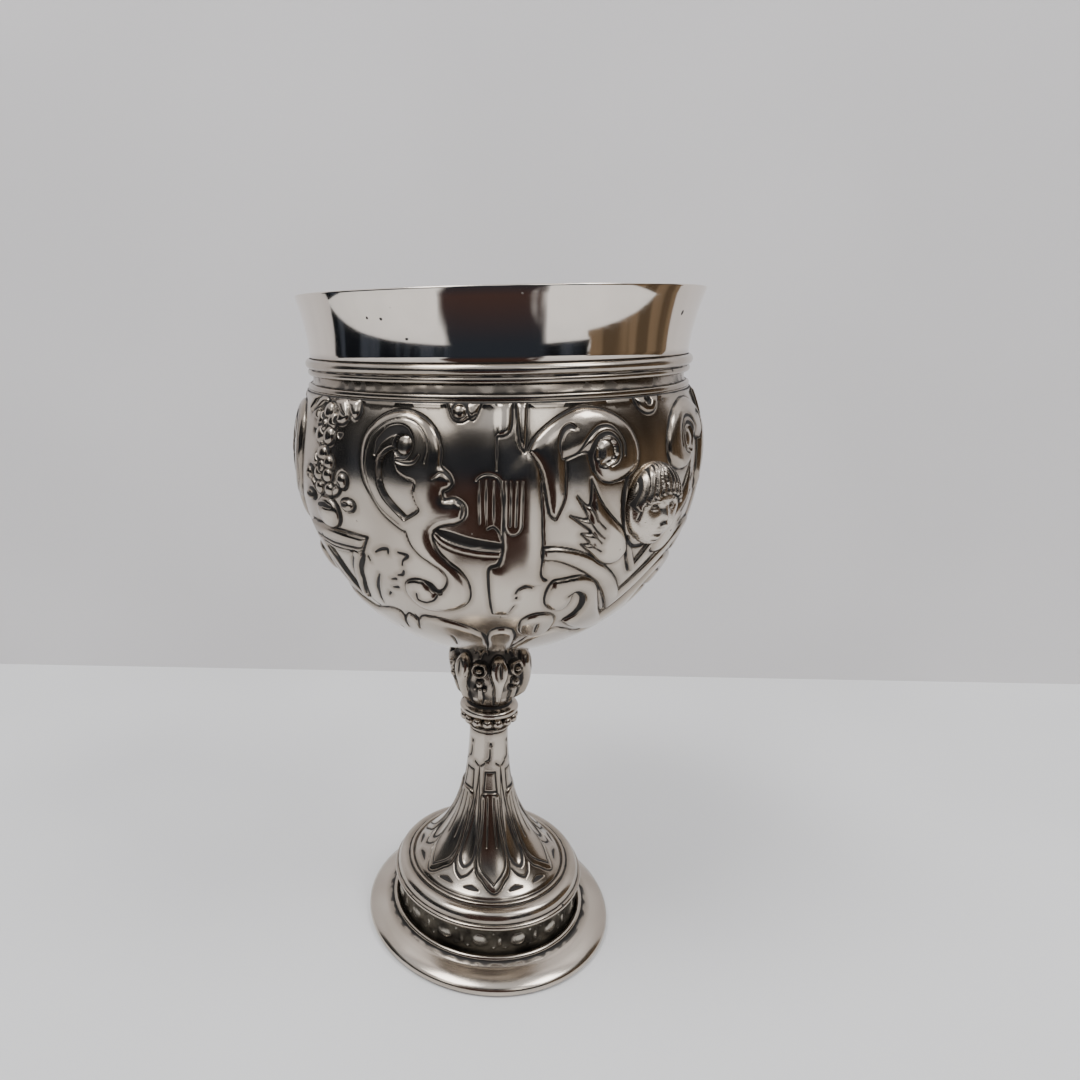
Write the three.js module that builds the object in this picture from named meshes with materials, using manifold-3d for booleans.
// A silver goblet: a chased bowl with a flared lip, on a knop, a beaded collar, a trumpet stem
// and a stepped foot. Millimetres, +Z up, the front faces -Y, the origin is the middle of the
// underside. The bowl's ornament repeats four times, every other time in mirror image.
import * as THREE from 'three';
import { mergeVertices } from 'three/addons/utils/BufferGeometryUtils.js';
import Module from 'manifold-3d';

const wasm = await Module();
wasm.setup();

// Driving sizes
const wall = 1.0;                 // thickness of the raised silver
const solderGap = 0.3;            // between a wire and what it is fitted round

const baseRadius = 32.3;          // spreading foot ring, at its widest
const baseSides = 30;
const baseHeight = 4.2;           // seat of the frieze band above the table
const baseLipHeight = 1.2;        // bead of the foot ring, above that seat
const baseLipWidth = 2.3;         // that bead and its groove, across
const footRim = 1.5;              // flat ring that stands on the table

const friezeRadius = 23.6;        // outside of the patterned band
const friezeHeight = 8.1;
const friezeFit = 0.5;            // between the band and the bead round its foot
const friezeRepeats = 16;         // ovals round the band
const friezeLift = 0.6;

const tierOverhang = 1.4;         // lower step of the foot, past the frieze band
const tierHeight = 4.9;
const domeRadius = 19.4;          // edge of the chased dome
const stemHeight = 38.0;          // from the dome's edge to the collar
const stemRadius = 4.9;           // at the top of the stem
const stemSides = 26;
const stemPlug = 7;               // solid top of the stem
const bladeCount = 6;             // pointed blades round stem and dome
const bladeTurn = 9;              // degrees from the front to the first blade
const bladeLift = 0.5;

const collarHeight = 7.7;
const collarRadius = 7.5;
const beadCount = 15;
const beadRadius = 1.25;

const knopHeight = 17.5;
const knopRadius = 9.3;           // plain core between its tongues
const knopSides = 18;
const knopTongues = 6;
const knopTurn = 18;              // degrees from the front to the first tongue
const tongueLift = 1.0;

const bowlSeatRadius = 8.3;       // flat under the bowl, on the knop
const bowlRadius = 45.7;          // at its widest
const bowlDepth = 48;             // from the widest level to where the curve would close
const bowlSides = 30;
const shoulderHeight = 14.2;      // from the widest level up to the fillet
const shoulderDraw = 3.3;         // how far the shoulder draws in on that height
const filletHeight = 1.4;         // plain band above the chasing
const recessHeight = 1.7;         // dark groove under the moulding
const neckDepth = 1.1;            // neck behind the moulding, in from the fillet

const mouldingHeight = 3.6;
const mouldingProud = 1.7;        // upper reed, out from the neck
const lipHeight = 13.2;
const lipStep = 0.6;              // lip over the neck, at its foot
const lipFlare = 2.4;             // how far the lip spreads on its height

const relief = 0.8;               // strapwork above the bowl
const sink = 0.5;                 // how deep carved solids start inside what carries them
const edge = 0.3;                 // bevel of the strapwork
const largeSides = 8;             // sides of a boss that is rounded in two steps

// Levels, stacked from the table up
const friezeTop = baseHeight + friezeHeight;
const domeLevel = friezeTop + tierHeight;
const stemTop = domeLevel + stemHeight;
const collarTop = stemTop + collarHeight;
const knopTop = collarTop + knopHeight;
const seatDrop = bowlDepth * Math.sqrt(1 - (bowlSeatRadius / bowlRadius) ** 2);
const girth = knopTop + seatDrop;
const filletLevel = girth + shoulderHeight;
const recessLevel = filletLevel + filletHeight;
const mouldingLevel = recessLevel + recessHeight;
const lipLevel = mouldingLevel + mouldingHeight;
const rimLevel = lipLevel + lipHeight;

// Radii that follow from others
const shoulderRadius = bowlRadius - shoulderDraw;
const filletRadius = shoulderRadius - 0.3;
const neckRadius = filletRadius - neckDepth;
const lipFootRadius = neckRadius + lipStep;
const tierRadius = friezeRadius + tierOverhang;
const friezeBore = friezeRadius - wall;
const beadRingRadius = collarRadius - beadRadius;

const radians = THREE.MathUtils.degToRad;
const turn = 2 * Math.PI;

// Solids

// Volume inside a mesh, negative where its faces point inwards
function signedVolume(positions, index) {
  const a = new THREE.Vector3();
  const b = new THREE.Vector3();
  const c = new THREE.Vector3();
  let sum = 0;
  for (let i = 0; i < index.length; i += 3) {
    a.fromArray(positions, 3 * index[i]);
    b.fromArray(positions, 3 * index[i + 1]);
    c.fromArray(positions, 3 * index[i + 2]);
    sum += a.dot(b.cross(c)) / 6;
  }
  return sum;
}

function solidOf(geometry) {
  const bare = geometry.clone();
  bare.deleteAttribute('normal');
  bare.deleteAttribute('uv');
  const merged = mergeVertices(bare, 1e-4);
  const vertProperties = Float32Array.from(merged.attributes.position.array);
  const triVerts = Uint32Array.from(merged.index.array);
  if (signedVolume(vertProperties, triVerts) < 0) triVerts.reverse();
  const solid = new wasm.Manifold(new wasm.Mesh({ numProp: 3, vertProperties, triVerts }));
  return solid;
}

function geometryOf(solid) {
  const mesh = solid.getMesh();
  const geometry = new THREE.BufferGeometry();
  geometry.setAttribute('position', new THREE.BufferAttribute(mesh.vertProperties, 3));
  geometry.setIndex(new THREE.BufferAttribute(mesh.triVerts, 1));
  const flat = geometry.toNonIndexed();
  flat.computeVertexNormals();
  return flat;
}

// A turned solid from [radius, height] points that start and end on the axis or on each other
function turned(profile, sides) {
  const points = profile.map(([r, z]) => new THREE.Vector2(r, z));
  const lathe = new THREE.LatheGeometry(points, sides);
  lathe.rotateX(Math.PI / 2);
  return solidOf(lathe);
}

// A closed solid over rings of points, each ring a list of as many points, with flat ends
function lofted(rings) {
  const around = rings[0].length;
  const positions = rings.flat().flatMap((p) => [p.x, p.y, p.z]);
  const index = [];
  for (let i = 0; i + 1 < rings.length; i += 1) {
    for (let j = 0; j < around; j += 1) {
      const a = i * around + j;
      const b = i * around + (j + 1) % around;
      index.push(a, b, b + around, a, b + around, a + around);
    }
  }
  const last = (rings.length - 1) * around;
  for (let j = 1; j + 1 < around; j += 1) {
    index.push(0, j + 1, j, last, last + j, last + j + 1);
  }
  const geometry = new THREE.BufferGeometry();
  geometry.setAttribute('position', new THREE.Float32BufferAttribute(positions, 3));
  geometry.setIndex(index);
  return solidOf(geometry);
}

// A raised strap along a path of [x, y, half width] points on a curved surface. place(x, y, lift)
// gives the point that lies at x and y on that surface, raised by lift.
function strap(place, path, steps, lift = relief) {
  const curve = new THREE.CatmullRomCurve3(path.map((p) => new THREE.Vector3(...p)));
  curve.curveType = 'centripetal';
  const rings = [];
  for (let i = 0; i <= steps; i += 1) {
    const p = curve.getPoint(i / steps);
    const t = curve.getTangent(i / steps);
    const across = new THREE.Vector2(-t.y, t.x).normalize();
    const side = (offset, height) => place(p.x + across.x * offset, p.y + across.y * offset, height);
    const crown = Math.max(p.z - edge, 0.3 * p.z);
    rings.push([side(p.z, -sink), side(crown, lift), side(-crown, lift), side(-p.z, -sink)]);
  }
  return lofted(rings);
}

// A rounded boss at x and y on a curved surface: a large one is rounder, in two steps
function boss(place, x, y, [rx, ry], lift, sides) {
  const ring = (share, height) => Array.from({ length: sides }, (_, i) => {
    const a = turn * (i + 0.5) / sides;
    return place(x + share * rx * Math.cos(a), y + share * ry * Math.sin(a), height);
  });
  if (sides < largeSides) return lofted([ring(1, -sink), ring(0.55, lift)]);
  return lofted([ring(1, -sink), ring(0.85, 0.6 * lift), ring(0.4, lift)]);
}

const joined = (first, rest) => rest.reduce((sum, piece) => sum.add(piece), first);

// Bowl

// Outside radius of the chased body, at a height over the widest level
function bodyRadius(h) {
  if (h > 0) return shoulderRadius + shoulderDraw * (1 - (h / shoulderHeight) ** 2);
  return bowlRadius * Math.sqrt(1 - (h / bowlDepth) ** 2);
}

// The ornament is drawn flat: x along the girth from the middle of a repeat, y up from the girth.
// The drawing narrows towards the bottom as the bowl does, so that a round stays a round.
function bowlPlace(quarter) {
  const mirror = quarter % 2 ? -1 : 1;
  return (x, y, lift) => {
    const latitude = 2 * Math.atan(Math.exp(y / bowlRadius)) - Math.PI / 2;
    const h = Math.min(bowlDepth * Math.sin(latitude), shoulderHeight);
    const step = 0.01;
    const slope = (bodyRadius(h) - bodyRadius(h - step)) / step;
    const tilt = Math.hypot(1, slope);
    const r = bodyRadius(h) + lift / tilt;
    const angle = quarter * turn / 4 + mirror * x / bowlRadius;
    return new THREE.Vector3(r * Math.sin(angle), -r * Math.cos(angle), girth + h - lift * slope / tilt);
  };
}

const panelEdge = bowlRadius * turn / 8;    // x of the middle of a panel between two repeats

// Strapwork of one repeat: straps as [x, y, half width] points, with the steps each takes
const strapwork = [
  // upper left volute, from its tip up, over and in
  [[[-15.2, -8.2, 0.6], [-20.6, -3.4, 1.5], [-22.2, 3, 1.8], [-19.8, 9, 1.8], [-14.4, 10.8, 1.7],
    [-9.4, 8.8, 1.6], [-8.6, 4.4, 1.4], [-12.8, 3.6, 1.3]], 6],
  // long strap below it, ending in the lower left volute
  [[[-11.2, 1.6, 1.8], [-9.2, -3.4, 2.6], [-11.4, -9.4, 2.6], [-9.4, -14.2, 2.4], [-4.6, -19.2, 2.3],
    [-4.4, -25.4, 2.2], [-9.6, -28.8, 2.1], [-15.4, -26.6, 1.8], [-14, -22.8, 1.5]], 7],
  // upper right volute, round to its eye
  [[[10.4, 5.6, 1.2], [14.6, 8.8, 1.8], [21, 10.9, 1.8], [27.4, 8.4, 1.7], [29.6, 3.8, 1.6],
    [26.4, 1, 1.4], [22.4, 2.4, 1.1]], 6],
  // leaf that falls from that volute
  [[[13, 7, 1.6], [14.4, -6, 0.5]], 1],
  // hoop that passes behind the pillar, left and right
  [[[-7.6, -10, 0.9], [4.4, -12.9, 1]], 1],
  [[[12.4, -13.6, 1.4], [20.6, -15.6, 1.6], [27.6, -20.6, 1.8], [panelEdge, -28, 1.8]], 2],
  // pillar
  [[[7.6, 2, 4.4], [8.4, -16, 4.2], [6, -30.6, 3]], 2],
  // half a ledge under the fruit
  [[[-panelEdge, -14.8, 2.2], [-25.6, -14.6, 2]], 1],
];

// Round bosses of one repeat: x, y, half widths, height, sides
const bosses = [
  [24.4, 5, [2.4, 2.4], 1.6, 6],             // eye of the upper right volute
  [20.6, -26.4, [5.4, 4.6], 0.9, 7],         // lower right volute
  [15, -35, [4.2, 2.9], 0.9, 5],             // pearl leaf at the foot
  [-13, -38.4, [11, 3], 0.9, 6],             // leaf of the calyx
  [-29.2, -4, [1.9, 3], 1.2, 5],             // fruit beside the basket
  [-31.8, 4, [2.6, 3], 1.5, 6],
  [26, -9, [6, 5], 1.1, 6],                  // wing of the cherub
];

// What stands on the middle of a panel: x is measured from that middle
const cherubMiddle = [
  [0, -3, [7.2, 6.2], 2.1, 9],               // hair
  [0, -6.8, [5.7, 7], 2.8, 9],               // face
  [0, -7.2, [0.9, 1.8], 3.5, 4],             // nose
  [0, 0.8, [3.4, 1.9], 2.7, 5],              // forelock
  [0, 12.4, [2.4, 1.6], 0.9, 5],             // tab over the head
];
const fruitMiddle = [
  [0, -9, [3.8, 3.2], 1.7, 8],               // basket
  [0, -0.8, [2.8, 3.6], 1.9, 6],
  [0, 8, [2.8, 3.4], 1.5, 6],
];

function repeatOf(quarter) {
  const place = bowlPlace(quarter);
  const straps = strapwork.map(([path, steps]) => strap(place, path, steps));
  const rounds = bosses.map((round) => boss(place, ...round));
  return [...straps, ...rounds];
}

function middleOf(quarter, list, middle) {
  const place = bowlPlace(quarter);
  return list.map(([x, y, ...rest]) => boss(place, middle + x, y, ...rest));
}

function bowlProfile() {
  const outside = [[0, knopTop]];
  const lowSteps = 6;
  const lowest = Math.asin(seatDrop / bowlDepth);
  for (let i = 0; i <= lowSteps; i += 1) {
    const a = lowest * (1 - i / lowSteps);
    outside.push([bowlRadius * Math.cos(a), girth - bowlDepth * Math.sin(a)]);
  }
  for (const share of [0.5, 0.97]) {
    outside.push([bodyRadius(share * shoulderHeight), girth + share * shoulderHeight]);
  }
  outside.push([neckRadius, filletLevel]);
  outside.push([filletRadius, filletLevel + 0.2 * filletHeight]);
  outside.push([filletRadius, recessLevel - 0.2 * filletHeight]);
  outside.push([neckRadius, recessLevel], [neckRadius, lipLevel], [lipFootRadius, lipLevel]);
  const inside = [];
  const lipSteps = 3;
  for (let i = 0; i <= lipSteps; i += 1) {
    const t = i / lipSteps;
    const r = lipFootRadius + lipFlare * t ** 1.7;
    if (i > 0) outside.push([r, lipLevel + (lipHeight - 0.3 * wall * t) * t]);
    inside.unshift([r - wall, lipLevel + (lipHeight - 0.3 * wall * t) * t]);
  }
  const rim = lipFootRadius + lipFlare;
  outside.push([rim - 0.3 * wall, rimLevel], [rim - 0.7 * wall, rimLevel]);
  inside[lipSteps] = [neckRadius - wall, lipLevel];
  inside.push([neckRadius - wall, filletLevel - wall]);
  const innerDepth = seatDrop - wall;
  inside.push([shoulderRadius - wall, filletLevel - 3 * wall]);
  const innerSteps = 5;
  for (let i = 0; i <= innerSteps; i += 1) {
    const a = Math.PI / 2 * i / innerSteps;
    inside.push([(bowlRadius - wall) * Math.cos(a), girth - innerDepth * Math.sin(a)]);
  }
  inside[inside.length - 1][0] = 0;
  return [...outside, ...inside];
}

function makeBowl() {
  let bowl = turned(bowlProfile(), bowlSides);
  for (let quarter = 0; quarter < 4; quarter += 1) bowl = joined(bowl, repeatOf(quarter));
  for (const quarter of [0, 2]) {
    bowl = joined(bowl, middleOf(quarter, cherubMiddle, panelEdge));
    bowl = joined(bowl, middleOf(quarter, fruitMiddle, -panelEdge));
  }
  return bowl;
}

// Neck moulding: two reeds in one wire
function makeMoulding() {
  const back = neckRadius + solderGap;
  const out = neckRadius + mouldingProud;
  const split = mouldingLevel + 0.4 * mouldingHeight;
  const upper = lipLevel - split;
  const profile = [
    [back, mouldingLevel],
    [out - 0.6, mouldingLevel + 0.3 * (split - mouldingLevel)],
    [out - 1, split],
    [out - 0.1, split + 0.35 * upper],
    [out - 0.1, split + 0.65 * upper],
    [out - 0.9, lipLevel],
    [back, lipLevel],
    [back, mouldingLevel],
  ];
  return turned(profile, bowlSides);
}

// Knop: a turned core with tongues and, between them, clusters of leaves
function knopCore(z) {
  const t = (z - collarTop) / knopHeight;
  return knopRadius * (0.62 + 0.38 * Math.sin(Math.PI * Math.min(1, 1.02 * t)) ** 0.8) + 1.2 * t ** 3;
}

function knopPlace(azimuth) {
  return (x, y, lift) => {
    const angle = azimuth + x / knopRadius;
    const z = collarTop + THREE.MathUtils.clamp(y, 0.02, 0.98) * knopHeight;
    const r = knopCore(z) + lift;
    return new THREE.Vector3(r * Math.sin(angle), -r * Math.cos(angle), z);
  };
}

function makeKnop() {
  const profile = [[0, collarTop]];
  const steps = 6;
  for (let i = 0; i <= steps; i += 1) {
    const z = collarTop + knopHeight * i / steps;
    profile.push([knopCore(z), z]);
  }
  profile.push([0, knopTop]);
  const pieces = [];
  for (let i = 0; i < knopTongues; i += 1) {
    const place = knopPlace(radians(knopTurn) + turn * i / knopTongues);
    const between = knopPlace(radians(knopTurn) + turn * (i + 0.5) / knopTongues);
    pieces.push(boss(place, 0, 0.66, [2.6, 0.17], tongueLift + 0.4, 6));
    pieces.push(boss(place, 0, 0.36, [2, 0.34], tongueLift, 6));
    pieces.push(boss(between, 0, 0.5, [1.9, 0.15], tongueLift, 4));
  }
  return joined(turned(profile, knopSides), pieces);
}

// Collar: a turned ring over a ring of beads
function makeCollar() {
  const h = collarHeight;
  const foot = stemRadius + 0.4;
  const neck = knopCore(collarTop);
  const profile = [
    [0, stemTop], [foot, stemTop], [foot, stemTop + 0.16 * h], [beadRingRadius, stemTop + 0.24 * h],
    [beadRingRadius, stemTop + 0.6 * h], [collarRadius, stemTop + 0.72 * h],
    [collarRadius - 0.3, stemTop + 0.9 * h], [neck, collarTop], [0, collarTop],
  ];
  const beads = [];
  for (let i = 0; i < beadCount; i += 1) {
    const a = turn * i / beadCount;
    const bead = new THREE.SphereGeometry(beadRadius, 5, 3);
    bead.rotateX(Math.PI / 2);
    bead.rotateZ(a);
    bead.translate(beadRingRadius * Math.sin(a), -beadRingRadius * Math.cos(a), stemTop + 0.42 * h);
    beads.push(solidOf(bead));
  }
  return joined(turned(profile, knopSides), beads);
}

// Stem: the trumpet and dome, outside radius by the share of the way down from the collar
function trumpet(t) {
  return stemRadius + (domeRadius - stemRadius) * (0.3 * t ** 1.6 + 0.7 * t ** 4.2);
}

function trumpetSlope(t) {
  const step = 0.001;
  return (trumpet(t + step) - trumpet(t - step)) / (2 * step * stemHeight);
}

function stemPlace(azimuth) {
  return (x, t, lift) => {
    const slope = trumpetSlope(t);
    const tilt = Math.hypot(1, slope);
    const r = trumpet(t) + lift / tilt;
    const angle = azimuth + x / trumpet(t);
    const z = stemTop - stemHeight * t + lift * slope / tilt;
    return new THREE.Vector3(r * Math.sin(angle), -r * Math.cos(angle), z);
  };
}

function stemProfile() {
  const outside = [];
  const inside = [];
  const steps = 7;
  for (let i = 0; i <= steps; i += 1) {
    const t = (i / steps) ** 0.8;
    const slope = trumpetSlope(Math.max(t, 0.001));
    const tilt = Math.hypot(1, slope);
    const z = stemTop - stemHeight * t;
    outside.unshift([trumpet(t), z]);
    const inner = [trumpet(t) - wall / tilt, z - wall * slope / tilt];
    if (inner[1] < stemTop - stemPlug - wall) inside.push(inner);
  }
  const drop = (share) => friezeTop + share * tierHeight;
  const reach = tierRadius - domeRadius;
  const tier = [
    [tierRadius - 0.3, friezeTop], [tierRadius, drop(0.18)], [tierRadius - 0.8, drop(0.32)],
    [domeRadius + 0.78 * reach, drop(0.6)], [domeRadius + 0.36 * reach, drop(0.82)],
    [domeRadius + 0.2 * reach, drop(1)],
  ];
  const hollow = [
    [domeRadius - wall, domeLevel - 1.6 * wall],
    [friezeBore, friezeTop + 0.9 * wall],
    [friezeBore, friezeTop],
  ];
  const top = [0, stemTop - stemPlug];
  const bore = [inside[0][0], stemTop - stemPlug];
  return [top, bore, ...inside.slice(0, -1), ...hollow, ...tier, ...outside, [0, stemTop]];
}

// A blade runs down from the narrow of the stem, widens and ends in a point above the dome's edge
const bladePath = [[0, 0.4, 0.5], [0, 0.66, 1.1], [0, 0.84, 1.9], [0, 0.96, 0.4]];

function makeStem() {
  const blades = [];
  for (let i = 0; i < bladeCount; i += 1) {
    const place = stemPlace(radians(bladeTurn) + turn * i / bladeCount);
    blades.push(strap(place, bladePath, 4, bladeLift));
  }
  return joined(turned(stemProfile(), stemSides), blades);
}

// Frieze band: a plain strip with a row of ovals
function makeFrieze() {
  const profile = [
    [friezeBore, baseHeight], [friezeRadius, baseHeight], [friezeRadius, friezeTop],
    [friezeBore, friezeTop], [friezeBore, baseHeight],
  ];
  const place = (azimuth) => (x, y, lift) => {
    const angle = azimuth + x / friezeRadius;
    const r = friezeRadius + lift;
    return new THREE.Vector3(r * Math.sin(angle), -r * Math.cos(angle), baseHeight + y);
  };
  const middle = 0.5 * (friezeHeight + baseLipHeight);
  const pitch = turn * friezeRadius / friezeRepeats;
  const pieces = [];
  for (let i = 0; i < friezeRepeats; i += 1) {
    const at = place(turn * i / friezeRepeats);
    pieces.push(boss(at, 0, middle, [0.28 * pitch, 0.28 * friezeHeight], friezeLift, 6));
  }
  return joined(turned(profile, stemSides), pieces);
}

// Base: the spreading foot ring, hollow below, with a bead round the foot of the frieze band
function makeBase() {
  const bead = friezeRadius + friezeFit;
  const step = bead + baseLipWidth;
  const spread = baseRadius - step;
  const lipTop = baseHeight + baseLipHeight;
  const profile = [
    [baseRadius - 0.4 - footRim, 0],
    [baseRadius - 0.4, 0],
    [baseRadius, 0.25 * baseHeight],
    [baseRadius - 0.2 * spread, 0.58 * baseHeight],
    [step + 0.35 * spread, 0.86 * baseHeight],
    [step, baseHeight],
    [bead + 0.7 * baseLipWidth, lipTop],
    [bead + 0.25 * baseLipWidth, lipTop],
    [bead, baseHeight],
    [friezeBore, baseHeight],
    [friezeBore, baseHeight - wall],
    [step, baseHeight - wall],
    [baseRadius - footRim - 0.2 * spread, 0.58 * baseHeight - 0.6 * wall],
    [baseRadius - 0.4 - footRim, 0],
  ];
  return turned(profile, baseSides);
}

// The goblet
const silver = new THREE.MeshStandardMaterial({ color: 0xb8b2a8, roughness: 0.16, metalness: 1 });
const castSilver = new THREE.MeshStandardMaterial({ color: 0xa9a296, roughness: 0.26, metalness: 1 });
const darkSilver = new THREE.MeshStandardMaterial({ color: 0x4a443c, roughness: 0.5, metalness: 0.9 });

const goblet = new THREE.Group();
const pieces = [
  ['bowl', makeBowl, silver],
  ['neck_moulding', makeMoulding, silver],
  ['knop', makeKnop, castSilver],
  ['beaded_collar', makeCollar, castSilver],
  ['stem', makeStem, silver],
  ['frieze_band', makeFrieze, darkSilver],
  ['base_ring', makeBase, silver],
];
for (const [name, make, material] of pieces) {
  const mesh = new THREE.Mesh(geometryOf(make()), material);
  mesh.name = name;
  goblet.add(mesh);
}

export default goblet;
